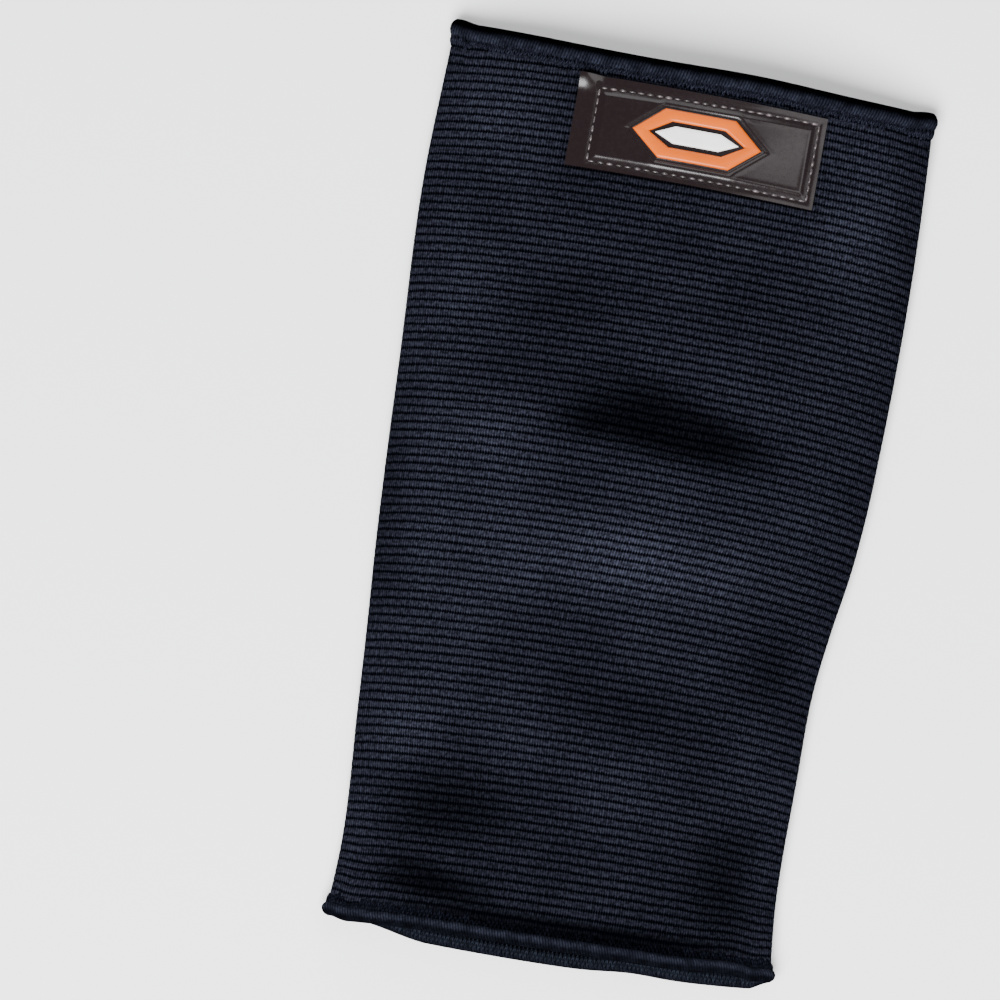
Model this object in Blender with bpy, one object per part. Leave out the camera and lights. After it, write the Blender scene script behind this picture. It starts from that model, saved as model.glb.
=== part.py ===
"""Elbow pad: a ribbed elastic sleeve with a foam pad sewn inside the back of the elbow.

The sleeve lies flat on its back. +Y runs up the arm, +X across the sleeve, +Z up from the table.
The origin is the centre of the box that the pad fills, on the table. Units are metres.
"""

import math

import bmesh
import bpy

# Driving dimensions of the sleeve.
LENGTH = 0.230
WALL = 0.0018
GAP = 0.0003
FOLD_HEIGHT = 0.0036
FOLD_REACH = 0.005
# Half widths to the right and left of the centre line at each place along the arm.
OUTLINE = [
    (-0.1150, 0.0572, 0.0572),
    (-0.0980, 0.0554, 0.0560),
    (-0.0600, 0.0551, 0.0577),
    (-0.0360, 0.0559, 0.0590),
    (-0.0200, 0.0577, 0.0600),
    (-0.0050, 0.0600, 0.0607),
    (0.0110, 0.0618, 0.0613),
    (0.0270, 0.0627, 0.0617),
    (0.0810, 0.0634, 0.0634),
    (0.1150, 0.0620, 0.0620),
]
# Height of the front of the sleeve over the table, along the centre line.
CROWN = [
    (-0.1150, 0.0165),
    (-0.0800, 0.0175),
    (-0.0270, 0.0215),
    (0.0180, 0.0235),
    (0.0630, 0.0205),
    (0.1150, 0.0180),
]

# The sleeve bends at two lines across its front, at the ends of the pad.
ELBOW_MIDDLE = 0.018
ELBOW_LENGTH = 0.090
UPPER_BEND = ELBOW_MIDDLE + ELBOW_LENGTH / 2
LOWER_BEND = ELBOW_MIDDLE - ELBOW_LENGTH / 2

# The bound edge at each opening.
BINDING_WIDTH = 0.0052
BINDING_THREAD = 0.0007
STITCH_WIDTH = 0.0014
STITCH_HEIGHT = 0.0007
HEM_LIFT = GAP + BINDING_THREAD
HEM_START = LENGTH / 2 - 0.008

# Foam pad and the lining that holds it against the back wall.
PAD_HALF_WIDTH = 0.045
PAD_HALF_LENGTH = 0.040
PAD_THICKNESS = 0.008
LINING = 0.0008
FLANGE = 0.0035
SQUARENESS = 3.2

# Moulded badge below the upper opening.
BADGE_WIDTH = 0.0633
BADGE_HEIGHT = 0.0237
BADGE_THICKNESS = 0.0014
BADGE_CENTRE = (0.0038, 0.0953)
BADGE_TURN = math.radians(-1.0)
BADGE_STITCH_INSET = 0.0026
EMBLEM_THICKNESS = 0.0009
EMBLEM_HALF = (0.0165, 0.0066)
EMBLEM_STROKE = 0.0031

# Steps round the section: the fold's underside, the flat back, and the front, for each half.
FOLD_STEPS, BACK_STEPS, FRONT_STEPS = 4, 4, 13


def clear_scene():
    for old in list(bpy.data.objects):
        bpy.data.objects.remove(old)


def make_collection(name, hidden=False):
    collection = bpy.data.collections.new(name)
    bpy.context.scene.collection.children.link(collection)
    collection.hide_render = hidden
    return collection


def make_material(name, colour, roughness, metallic=0.0):
    material = bpy.data.materials.new(name)
    material.use_nodes = True
    shader = material.node_tree.nodes["Principled BSDF"]
    shader.inputs["Base Color"].default_value = (*colour, 1.0)
    shader.inputs["Roughness"].default_value = roughness
    shader.inputs["Metallic"].default_value = metallic
    return material


def eased(table, y, column=1):
    """A value from a table of (y, value, ...) rows, with smooth steps between its rows."""
    for low, high in zip(table, table[1:]):
        if y <= high[0]:
            break
    share = min(1.0, max(0.0, (y - low[0]) / (high[0] - low[0])))
    # A share of the smooth step rounds the corners, and the rest keeps the slope of the outline.
    smooth = share * share * (3 - 2 * share)
    share = 0.65 * share + 0.35 * smooth
    return low[column] + (high[column] - low[column]) * share


def lift(y):
    """The back of the sleeve rises to the thicker hems at both ends."""
    near = (abs(y) - (HEM_START - 0.010)) / 0.010
    near = min(1.0, max(0.0, near))
    return HEM_LIFT * near * near * (3 - 2 * near)


def section(y, depth):
    """Points (x, z) round the sleeve at y and at a depth inside its outer face.

    They start at the middle of the back and go round by +X. The section is the same all along a hem.
    """
    y = max(-HEM_START, min(HEM_START, y))
    base = lift(y)
    middle = base + FOLD_HEIGHT
    low = base + depth
    high = eased(CROWN, y) - depth
    reach = FOLD_REACH - depth
    points = []
    for side, column in ((1, 1), (-1, 2)):
        edge = eased(OUTLINE, y, column) - depth
        half = []
        for step in range(BACK_STEPS):
            half.append(((edge - reach) * step / BACK_STEPS, low))
        for step in range(FOLD_STEPS):
            angle = math.pi / 2 * step / FOLD_STEPS
            x = edge - reach + reach * math.sin(angle)
            half.append((x, middle - (middle - low) * math.cos(angle)))
        for step in range(FRONT_STEPS):
            angle = math.pi / 2 * step / FRONT_STEPS
            half.append((edge * math.cos(angle), middle + (high - middle) * math.sin(angle)))
        half.append((0.0, high))
        if side == 1:
            points += [(x, z) for x, z in half[:-1]]
        else:
            points += [(-x, z) for x, z in reversed(half[1:])]
    return points


def front_height(x, y):
    """Height of the sleeve's front face at (x, y)."""
    y = max(-HEM_START, min(HEM_START, y))
    middle = lift(y) + FOLD_HEIGHT
    edge = eased(OUTLINE, y, 1 if x >= 0 else 2)
    return middle + (eased(CROWN, y) - middle) * math.sqrt(max(0.0, 1 - (x / edge) ** 2))


def add_object(name, bm, collection, material, smooth_angle=35):
    bmesh.ops.recalc_face_normals(bm, faces=bm.faces)
    mesh = bpy.data.meshes.new(name)
    bm.to_mesh(mesh)
    bm.free()
    mesh.shade_smooth()
    mesh.set_sharp_from_angle(angle=math.radians(smooth_angle))
    obj = bpy.data.objects.new(name, mesh)
    obj.data.materials.append(material)
    collection.objects.link(obj)
    return obj


def rolled_grid(around, along, place):
    """A grid rolled up both ways into a closed ring.

    place(i, j) gives the point at step i round the ring and step j round its profile.
    """
    bm = bmesh.new()
    bmesh.ops.create_grid(bm, x_segments=around, y_segments=along, size=1.0)
    for vert in bm.verts:
        i = round((vert.co.x + 1) / 2 * around) % around
        j = round((vert.co.y + 1) / 2 * along) % along
        vert.co = place(i, j)
    bmesh.ops.remove_doubles(bm, verts=bm.verts, dist=1e-7)
    return bm


def sleeve_ring(name, profile, collection, material):
    """A ring that follows the sleeve's section. Its profile is a closed list of (y, depth)."""
    rings = [[(x, y, z) for x, z in section(y, depth)] for y, depth in profile]
    bm = rolled_grid(len(rings[0]), len(profile), lambda i, j: rings[j][i])
    return add_object(name, bm, collection, material)


def spaced(low, high, spacing=0.011):
    """Evenly spaced places along the arm from low to high."""
    steps = max(2, round((high - low) / spacing))
    return [low + (high - low) * step / steps for step in range(steps + 1)]


def make_tube(name, places, collection, material):
    """One length of the knitted tube, open at both ends, with a ring of points at each place."""
    outside = [(y, 0.0) for y in places]
    inside = [(y, WALL) for y in reversed(places)]
    return sleeve_ring(name, outside + inside, collection, material)


def make_hem(name, end, collection, binding, thread):
    """The overlocked edge at an opening, and the row of needle stitches beside it. end is 1 or -1."""
    outer = LENGTH / 2
    inner = outer - BINDING_WIDTH
    tip = GAP + BINDING_THREAD
    slot_end = outer - 0.0011
    profile = [
        (inner, -GAP),
        (inner + 0.0004, -tip),
        (outer - 0.0012, -tip),
        (outer - 0.0003, -tip * 0.35),
        (outer, WALL / 2),
        (outer - 0.0003, WALL + tip * 0.35),
        (outer - 0.0012, WALL + tip),
        (inner + 0.0004, WALL + tip),
        (inner, WALL + GAP),
        (slot_end, WALL + GAP),
        (slot_end, -GAP),
    ]
    sleeve_ring(name + "_binding", [(end * y, d) for y, d in profile], collection, binding)
    high = inner - GAP
    low = high - STITCH_WIDTH
    top = GAP + STITCH_HEIGHT
    bevel = 0.0003
    row = [(low, -GAP), (low + bevel, -top), (high - bevel, -top), (high, -GAP)]
    sleeve_ring(name + "_stitching", [(end * y, d) for y, d in row], collection, thread)


def pad_outline(grow, steps=40):
    """Points round the pad, a rounded rectangle, grown outwards by grow."""
    points = []
    for step in range(steps):
        angle = 2 * math.pi * step / steps
        cosine, sine = math.cos(angle), math.sin(angle)
        x = math.copysign(abs(cosine) ** (2 / SQUARENESS), cosine)
        y = math.copysign(abs(sine) ** (2 / SQUARENESS), sine)
        points.append((x * (PAD_HALF_WIDTH + grow), ELBOW_MIDDLE + y * (PAD_HALF_LENGTH + grow)))
    return points


def pad_loft(name, profile, collection, material, closed=False):
    """A shape lofted over the pad's outline. Its profile is (grow, z), closed or from centre to centre."""
    steps = len(pad_outline(0.0))
    if closed:
        rings = [[(x, y, z) for x, y in pad_outline(grow)] for grow, z in profile]
        bm = rolled_grid(steps, len(rings), lambda i, j: rings[j][i])
        return add_object(name, bm, collection, material)
    bm = bmesh.new()
    bmesh.ops.create_grid(bm, x_segments=steps, y_segments=len(profile) - 1, size=1.0)
    for vert in bm.verts:
        i = round((vert.co.x + 1) / 2 * steps) % steps
        j = round((vert.co.y + 1) / 2 * (len(profile) - 1))
        grow, z = profile[j]
        x, y = pad_outline(grow)[i]
        vert.co = (x, y, z)
    bmesh.ops.remove_doubles(bm, verts=bm.verts, dist=1e-7)
    bmesh.ops.holes_fill(bm, edges=[edge for edge in bm.edges if edge.is_boundary])
    return add_object(name, bm, collection, material)


def make_pad(collection, foam, lining, thread):
    """The foam pad on the back wall, the lining over it and the seam that holds the lining."""
    floor = WALL + GAP
    top = floor + PAD_THICKNESS
    edge = 0.0024
    foam_profile = [
        (-0.014, top),
        (-edge * 1.6, top),
        (-edge * 0.5, top - edge * 0.3),
        (0.0, top - edge),
        (0.0, floor + edge * 0.4),
        (-edge * 0.4, floor),
        (-0.014, floor),
    ]
    pad_loft("foam_pad", foam_profile, collection, foam)

    # The lining's underside stays a gap clear of the foam.
    over = GAP + LINING
    under = [(-0.014, top + GAP), (-edge * 1.6, top + GAP), (-edge * 0.3, top + GAP - edge * 0.3)]
    under += [(GAP, top - edge), (GAP, floor + LINING), (GAP + 0.0004, floor)]
    outer = [(GAP + FLANGE, floor), (GAP + FLANGE, floor + LINING)]
    outer += [(over + 0.0004, floor + LINING), (over, floor + LINING * 2)]
    outer += [(over, top - edge), (-edge * 0.1, top + over - edge * 0.3)]
    outer += [(-edge * 1.6, top + over), (-0.014, top + over)]
    pad_loft("pad_lining", under + outer, collection, lining)

    # One loop of thread along the middle of the flange.
    middle = over + (FLANGE - LINING) / 2 + 0.0002
    radius = 0.00035
    height = floor + LINING + GAP + radius
    loop = []
    for step in range(6):
        angle = 2 * math.pi * step / 6
        loop.append((middle + radius * math.cos(angle), height + radius * math.sin(angle)))
    pad_loft("pad_lining_stitching", loop, collection, thread, closed=True)


def drape(bm, rise):
    """Turns a badge shape to its place and bends it over the sleeve's front."""
    cosine, sine = math.cos(BADGE_TURN), math.sin(BADGE_TURN)
    for vert in bm.verts:
        x, y, z = vert.co
        x, y = x * cosine - y * sine + BADGE_CENTRE[0], x * sine + y * cosine + BADGE_CENTRE[1]
        vert.co = (x, y, z + rise + front_height(x, y))


def make_badge(collection, vinyl, thread, orange, white):
    """The moulded badge: its plate, the loop of thread that holds it, and the raised emblem."""
    bm = bmesh.new()
    bmesh.ops.create_cube(bm, size=1.0)
    bmesh.ops.scale(bm, vec=(BADGE_WIDTH, BADGE_HEIGHT, BADGE_THICKNESS), verts=bm.verts)
    upright = [e for e in bm.edges if abs(e.verts[0].co.z - e.verts[1].co.z) > BADGE_THICKNESS / 2]
    bmesh.ops.bevel(bm, geom=upright, offset=0.0012, segments=2, affect="EDGES")
    for step in range(1, 16):
        x = BADGE_WIDTH * (step / 16 - 0.5)
        whole = bm.verts[:] + bm.edges[:] + bm.faces[:]
        bmesh.ops.bisect_plane(bm, geom=whole, plane_co=(x, 0, 0), plane_no=(1, 0, 0))
    for step in range(1, 4):
        y = BADGE_HEIGHT * (step / 4 - 0.5)
        whole = bm.verts[:] + bm.edges[:] + bm.faces[:]
        bmesh.ops.bisect_plane(bm, geom=whole, plane_co=(0, y, 0), plane_no=(0, 1, 0))
    drape(bm, GAP + BADGE_THICKNESS / 2)
    add_object("badge_plate", bm, collection, vinyl)

    # The loop of thread lies on the plate, a short way in from its edge.
    half_x = BADGE_WIDTH / 2 - BADGE_STITCH_INSET
    half_y = BADGE_HEIGHT / 2 - BADGE_STITCH_INSET
    path = [(half_x * (2 * step / 14 - 1), -half_y) for step in range(14)]
    path += [(half_x, half_y * (2 * step / 4 - 1)) for step in range(4)]
    path += [(-x, -y) for x, y in path]
    radius = 0.0003
    top = BADGE_THICKNESS + GAP

    def thread_point(i, j):
        x, y = path[i]
        angle = 2 * math.pi * j / 6
        out = 1 + radius * math.cos(angle) / half_y
        return (x * out, y * out, top + radius + radius * math.sin(angle))

    bm = rolled_grid(len(path), 6, thread_point)
    drape(bm, GAP)
    add_object("badge_stitching", bm, collection, thread)

    # A long hexagonal frame, and a solid core of the same shape inside it.
    long_half, short_half = EMBLEM_HALF
    corners = [(1.0, 0.0), (0.55, 1.0), (-0.55, 1.0), (-1.0, 0.0), (-0.55, -1.0), (0.55, -1.0)]

    def hexagon(inset):
        a, b = long_half - inset * 1.35, short_half - inset
        ring = [(x * a, y * b) for x, y in corners]
        points = []
        for start, end in zip(ring, ring[1:] + ring[:1]):
            for step in range(3):
                share = step / 3
                points.append([start[k] + (end[k] - start[k]) * share for k in range(2)])
        return points

    outer, inner = hexagon(0.0), hexagon(EMBLEM_STROKE)
    heights = (top, top + EMBLEM_THICKNESS)
    frame = [(outer, heights[0]), (outer, heights[1]), (inner, heights[1]), (inner, heights[0])]
    bm = rolled_grid(len(outer), 4, lambda i, j: (*frame[j][0][i], frame[j][1]))
    drape(bm, GAP)
    add_object("emblem_frame", bm, collection, orange)

    bm = bmesh.new()
    core = [bm.verts.new((x, y, heights[0])) for x, y in hexagon(EMBLEM_STROKE + 0.0012)]
    face = bm.faces.new(core)
    raised = bmesh.ops.extrude_face_region(bm, geom=[face])["geom"]
    lifted = [item for item in raised if isinstance(item, bmesh.types.BMVert)]
    bmesh.ops.translate(bm, vec=(0, 0, EMBLEM_THICKNESS), verts=lifted)
    drape(bm, GAP)
    add_object("emblem_core", bm, collection, white)


def main():
    clear_scene()
    parts = make_collection("elbow_pad")
    knit = make_material("knit", (0.017, 0.020, 0.032), 0.85)
    binding = make_material("binding", (0.014, 0.017, 0.028), 0.75)
    thread = make_material("thread", (0.012, 0.014, 0.022), 0.6)
    foam = make_material("foam", (0.05, 0.05, 0.055), 0.95)
    lining = make_material("lining", (0.02, 0.02, 0.024), 0.9)
    vinyl = make_material("vinyl", (0.022, 0.013, 0.015), 0.22)
    clear_thread = make_material("clear_thread", (0.35, 0.30, 0.29), 0.3)
    orange = make_material("orange_vinyl", (0.95, 0.22, 0.035), 0.35)
    white = make_material("white_vinyl", (0.85, 0.84, 0.82), 0.35)

    # The wall stops short inside the binding, so that the thread wraps round its end.
    wall_end = LENGTH / 2 - 0.0014
    upper = spaced(UPPER_BEND + GAP, HEM_START) + [wall_end]
    forearm = [-wall_end] + spaced(-HEM_START, LOWER_BEND - GAP)
    make_tube("upper_arm_sleeve", upper, parts, knit)
    make_tube("elbow_sleeve", spaced(LOWER_BEND + GAP, UPPER_BEND - GAP), parts, knit)
    make_tube("forearm_sleeve", forearm, parts, knit)
    make_hem("upper_hem", 1, parts, binding, thread)
    make_hem("lower_hem", -1, parts, binding, thread)
    make_pad(parts, foam, lining, thread)
    make_badge(parts, vinyl, clear_thread, orange, white)


main()
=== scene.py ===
import math

import bmesh
import bpy
import numpy as np
from mathutils import Matrix, Vector


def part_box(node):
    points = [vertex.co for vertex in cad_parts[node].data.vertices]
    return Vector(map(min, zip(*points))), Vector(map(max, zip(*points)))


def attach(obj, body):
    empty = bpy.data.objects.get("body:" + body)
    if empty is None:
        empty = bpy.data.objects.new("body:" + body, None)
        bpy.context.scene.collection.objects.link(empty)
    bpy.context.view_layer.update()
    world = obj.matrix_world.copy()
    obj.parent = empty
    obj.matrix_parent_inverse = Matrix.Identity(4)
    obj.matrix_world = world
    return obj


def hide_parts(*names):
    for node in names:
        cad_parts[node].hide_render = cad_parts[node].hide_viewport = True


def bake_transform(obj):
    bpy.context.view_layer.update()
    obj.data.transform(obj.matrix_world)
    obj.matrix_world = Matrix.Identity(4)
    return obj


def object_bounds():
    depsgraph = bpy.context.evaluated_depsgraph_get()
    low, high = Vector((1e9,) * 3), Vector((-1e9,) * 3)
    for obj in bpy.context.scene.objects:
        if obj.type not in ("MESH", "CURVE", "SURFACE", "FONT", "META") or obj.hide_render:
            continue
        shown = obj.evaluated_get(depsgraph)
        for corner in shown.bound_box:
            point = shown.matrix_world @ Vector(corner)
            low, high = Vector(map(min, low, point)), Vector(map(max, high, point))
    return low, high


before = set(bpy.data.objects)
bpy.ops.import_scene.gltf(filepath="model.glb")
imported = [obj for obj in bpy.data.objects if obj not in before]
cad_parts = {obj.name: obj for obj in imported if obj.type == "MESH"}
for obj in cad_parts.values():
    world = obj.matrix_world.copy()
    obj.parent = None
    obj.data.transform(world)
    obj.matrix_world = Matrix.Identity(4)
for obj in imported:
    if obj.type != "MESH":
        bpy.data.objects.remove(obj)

cad_low, cad_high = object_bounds()

# ---------------------------------------------------------------------------------------------
# The table, the light and the camera.
# The sleeve lies on a pale table top, under a wide, soft lamp at its forearm end. One lamp beyond it and
# one at its side fill the shade. The camera looks down on it from the forearm end, tilted a little.
# ---------------------------------------------------------------------------------------------
LOOK_DOWN = math.radians(78.0)
LEAN = math.radians(9.4)
VIEW_WIDTH = 0.2542
CAMERA_DISTANCE = 2.6
AIM = (-0.120, 0.013)
AIM_HEIGHT = 0.004
SENSOR = 36.0
TABLE_SIDE = 4.0
TABLE_GAP = 0.0002


def new_material(name):
    """A plain material, with its node tree and its shader."""
    material = bpy.data.materials.new(name)
    material.use_nodes = True
    return material, material.node_tree, material.node_tree.nodes["Principled BSDF"]


bpy.ops.mesh.primitive_plane_add(size=TABLE_SIDE, location=(0, 0, cad_low.z - TABLE_GAP))
table = bpy.context.object
table.name = "table_top"
table_paint, _, paint = new_material("pale_table")
paint.inputs["Base Color"].default_value = (0.93, 0.93, 0.93, 1)
paint.inputs["Roughness"].default_value = 0.95
table.data.materials.append(table_paint)

room = bpy.data.worlds.new("room")
room.use_nodes = True
air = room.node_tree.nodes["Background"]
air.inputs["Color"].default_value = (0.95, 0.97, 1.0, 1)
air.inputs["Strength"].default_value = 0.35
bpy.context.scene.world = room


def hang_lamp(name, place, size, power):
    """A square soft lamp that shines on the middle of the table."""
    data = bpy.data.lights.new(name, "AREA")
    data.size = size
    data.energy = power
    lamp = bpy.data.objects.new(name, data)
    lamp.location = place
    lamp.rotation_euler = (-Vector(place)).to_track_quat("-Z", "Y").to_euler()
    bpy.context.scene.collection.objects.link(lamp)


hang_lamp("soft_lamp", place=(-0.17, -0.89, 1.20), size=0.95, power=86)
hang_lamp("far_lamp", place=(-0.30, 1.60, 0.85), size=1.2, power=16)
hang_lamp("side_lamp", place=(0.62, 0.34, 1.25), size=0.7, power=5.8)

back = Vector((0, -math.cos(LOOK_DOWN), math.sin(LOOK_DOWN)))
right = Vector((1, 0, 0))
up = back.cross(right)
cosine, sine = math.cos(LEAN), math.sin(LEAN)
right, up = right * cosine + up * sine, up * cosine - right * sine
camera_data = bpy.data.cameras.new("camera")
camera_data.sensor_width = SENSOR
camera_data.lens = SENSOR * CAMERA_DISTANCE / VIEW_WIDTH
camera = bpy.data.objects.new("camera", camera_data)
aim = Vector((0, 0, AIM_HEIGHT)) + right * AIM[0] * VIEW_WIDTH + up * AIM[1] * VIEW_WIDTH
facing = Matrix((right, up, back)).transposed().to_4x4()
camera.matrix_world = Matrix.Translation(aim + back * CAMERA_DISTANCE) @ facing
bpy.context.scene.collection.objects.link(camera)
bpy.context.scene.camera = camera

# ---------------------------------------------------------------------------------------------
# The knitted tube.
# A wide elastic band knitted round in one piece, with ribs that run across the arm. Each rib is a
# covered rubber thread under fine needle loops. It is wider over the upper arm than below the elbow.
# ---------------------------------------------------------------------------------------------
RIB_PITCH = 0.00216
RIB_HEIGHT = 0.00036
WALES = 360
WALL = 0.0018
FOLD_HEIGHT = 0.0036
FOLD_REACH = 0.0048
# Shares of the way round from the back's middle to the front's: to the end of the flat, and of the fold.
FLAT_SHARE, FOLD_SHARE = 0.20, 0.30
# Half widths, right and left of the middle, at each place along the arm.
RIGHT_EDGE = [(-0.120, 0.0572), (-0.115, 0.0564), (-0.098, 0.0549), (-0.060, 0.0551), (-0.036, 0.0558)]
RIGHT_EDGE += [(-0.020, 0.0579), (-0.005, 0.0604), (0.011, 0.0621), (0.027, 0.0630), (0.081, 0.0642)]
RIGHT_EDGE += [(0.110, 0.0634), (0.122, 0.0628)]
LEFT_EDGE = [(-0.120, 0.0578), (-0.115, 0.0572), (-0.098, 0.0561), (-0.060, 0.0577), (-0.036, 0.0590)]
LEFT_EDGE += [(-0.020, 0.0600), (-0.005, 0.0607), (0.011, 0.0613), (0.027, 0.0618), (0.081, 0.0634)]
LEFT_EDGE += [(0.110, 0.0622), (0.122, 0.0616)]
CROWN = [(-0.120, 0.0150), (-0.100, 0.0158), (-0.070, 0.0172), (-0.027, 0.0205), (0.018, 0.0222)]
CROWN += [(0.063, 0.0198), (0.100, 0.0182), (0.122, 0.0172)]
# How far the ribs slant, as a slope across the arm, at each place along it.
SLANT = [(-0.115, -0.010), (-0.060, 0.006), (-0.010, 0.021), (0.060, 0.016), (0.115, 0.013)]
# The upper opening is cut at a slant. The lower one is straight, and bows out in its middle.
UPPER_CUT, UPPER_CUT_SLANT, UPPER_CUT_BOW, UPPER_CUT_HUMP = 0.1151, -0.034, 0.0025, 0.0009
LOWER_CUT, LOWER_BOW = -0.1150, -0.0022
# How far the lower edge draws in: its back wall at the left and near the middle, its front wall in its
# middle and at the right, and both at the corners. The upper edge's corners stand out instead.
BACK_DRAW_LEFT, BACK_DRAW_MIDDLE = 0.0022, 0.0008
FRONT_DRAW_MIDDLE, FRONT_DRAW_RIGHT = 0.0015, 0.0012
LOWER_CORNER, UPPER_CORNER = 0.0014, 0.0010
HEM_LIFT = 0.0010
# How round the front's arch is, and how far its swells and hollows reach down towards the folds.
ARCH_ROUNDNESS, CREASE_ROUNDNESS = 1.4, 1.3
# The depth of a hollow where the painted shade on the ribs is darkest, the height of a swell where the
# painted light is brightest, and how much darker the knit is painted towards the lower hem.
SHADE_DARKEST_AT, LIGHT_BRIGHTEST_AT, DARKER_BY_HEM = 0.0023, 0.0034, 0.20
# Soft swells and hollows of the front: middle x and y, reach along and across, turn, height.
SWELLS = [
    (0.0115, 0.0195, 0.0240, 0.0068, -5.0, -0.0026),
    (0.0024, 0.0286, 0.0160, 0.0065, -6.0, -0.0008),
    (-0.0120, 0.0185, 0.0090, 0.0040, 0.0, -0.0009),
    (0.0020, -0.0140, 0.0420, 0.0115, 0.0, 0.0018),
    (0.0240, -0.0110, 0.0180, 0.0090, 0.0, 0.0006),
    (-0.0360, 0.0128, 0.0140, 0.0100, 0.0, 0.0012),
    (0.0080, -0.0520, 0.0200, 0.0090, -3.0, -0.0009),
    (0.0460, -0.0324, 0.0080, 0.0100, 0.0, -0.0008),
    (-0.0466, -0.0640, 0.0100, 0.0080, 0.0, 0.0010),
    (-0.0330, -0.0465, 0.0140, 0.0100, 0.0, 0.0005),
    (-0.0350, -0.0835, 0.0210, 0.0095, 3.0, -0.0011),
    (-0.0400, -0.1015, 0.0180, 0.0038, -12.0, -0.0024),
    (0.0173, -0.0755, 0.0260, 0.0080, 0.0, 0.0003),
    (0.0490, -0.0890, 0.0130, 0.0180, 0.0, -0.0018),
    (0.0140, -0.1100, 0.0560, 0.0023, 1.5, -0.0029),
    (-0.0460, 0.0975, 0.0160, 0.0140, 0.0, 0.0015),
    (0.0510, 0.0850, 0.0130, 0.0200, 0.0, 0.0018),
    (-0.0200, 0.0520, 0.0240, 0.0100, 5.0, -0.0006),
    (-0.0500, 0.0460, 0.0100, 0.0140, 0.0, 0.0006),
    (0.0260, 0.0480, 0.0200, 0.0100, 12.0, 0.0004),
    (0.0440, 0.0030, 0.0130, 0.0150, 0.0, 0.0014),
    (-0.0520, -0.0040, 0.0110, 0.0230, 0.0, 0.0014),
    (-0.0530, -0.0920, 0.0090, 0.0120, 0.0, -0.0010),
]


def through(marks, place):
    """The smooth curve through marks of (place, value)."""
    places, values = np.array(marks).T
    slopes = np.gradient(values, places)
    place = np.clip(place, places[0], places[-1])
    k = np.clip(np.searchsorted(places, place) - 1, 0, len(places) - 2)
    span = places[k + 1] - places[k]
    t = (place - places[k]) / span
    start = (1 + 2 * t) * (1 - t) ** 2 * values[k] + t * (1 - t) ** 2 * span * slopes[k]
    return start + t * t * (3 - 2 * t) * values[k + 1] + t * t * (t - 1) * span * slopes[k + 1]


def ease(value, low, high):
    """0 before low, 1 after high, and a smooth step between them."""
    t = np.clip((value - low) / (high - low), 0, 1)
    return t * t * (3 - 2 * t)


def hump(value, middle, reach):
    """1 at the middle, falling away smoothly on both sides."""
    return np.exp(-(((value - middle) / reach) ** 2))


def creases(x, y):
    """How far the front stands over or under its plain arch at its swells and hollows."""
    height = 0 * x
    for middle_x, middle_y, reach, width, turn, rise in SWELLS:
        cosine, sine = math.cos(math.radians(turn)), math.sin(math.radians(turn))
        a = (x - middle_x) * cosine + (y - middle_y) * sine
        b = (y - middle_y) * cosine - (x - middle_x) * sine
        height = height + rise * np.exp(-((a / reach) ** 2) - (b / width) ** 2)
    return height


def ripples(x, y):
    """The slight unevenness of soft cloth."""
    height = 0.00016 * np.sin(x * 61 + y * 43 + 0.7) + 0.00014 * np.sin(y * 117 - x * 38)
    return height + 0.00007 * np.sin(x * 173 - y * 101 + 1.9)


def lay_flat(around, place):
    """The outer face as it lies: around is 0 and 2 at the back's middle and 1 at the front's middle."""
    around = around % 2
    half = np.where(around <= 1, around, 2 - around)
    side = np.where(around <= 1, 1.0, -1.0)
    edge = np.where(side > 0, through(RIGHT_EDGE, place), through(LEFT_EDGE, place))
    bend = math.pi / 2 * np.clip((half - FLAT_SHARE) / (FOLD_SHARE - FLAT_SHARE), 0, 1)
    rise = math.pi / 2 * np.clip((half - FOLD_SHARE) / (1 - FOLD_SHARE), 0, 1)
    flat = np.clip(half / FLAT_SHARE, 0, 1)
    under = (edge - FOLD_REACH) * flat + FOLD_REACH * np.sin(bend)
    x = side * np.where(half < FOLD_SHARE, under, edge * np.cos(rise))
    y = place - through(SLANT, place) * x
    at_back = ease(half, FOLD_SHARE, FLAT_SHARE * 0.9)
    back_draw = BACK_DRAW_LEFT * ease(-x, 0.030, 0.048) + BACK_DRAW_MIDDLE * hump(x, 0.021, 0.009)
    front_draw = FRONT_DRAW_MIDDLE * (1 - (x / edge) ** 4) + FRONT_DRAW_RIGHT * hump(x, 0.046, 0.008)
    wave = LOWER_BOW * (1 - (x / edge) ** 2)
    wave = wave + at_back * back_draw
    wave = wave + (1 - at_back) * front_draw
    corner = ease(np.abs(x) / edge, 0.90, 1.0)
    y = y + (wave + LOWER_CORNER * corner) * ease(place, -0.085, LOWER_CUT)
    y = y + UPPER_CORNER * corner * ease(place, 0.104, 0.114)
    hem_lift = HEM_LIFT * ease(np.abs(place), 0.096, 0.107)
    arch = through(CROWN, place) - hem_lift - FOLD_HEIGHT
    z = hem_lift + FOLD_HEIGHT * (1 - np.cos(bend)) + arch * np.sin(rise) ** ARCH_ROUNDNESS
    z = z + np.sin(rise) ** CREASE_ROUNDNESS * (creases(x, y) + ripples(x, y))
    return np.stack([x, y, z], -1)


def face_at(around, place, depth=0.0):
    """Points at a depth under the sleeve's outer face."""
    step_around, step_place = 0.002, 0.0004
    along = lay_flat(around, place + step_place) - lay_flat(around, place - step_place)
    across = lay_flat(around + step_around, place) - lay_flat(around - step_around, place)
    normal = np.cross(along, across)
    normal /= np.linalg.norm(normal, axis=-1, keepdims=True)
    return lay_flat(around, place) - normal * np.asarray(depth)[..., None]


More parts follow.
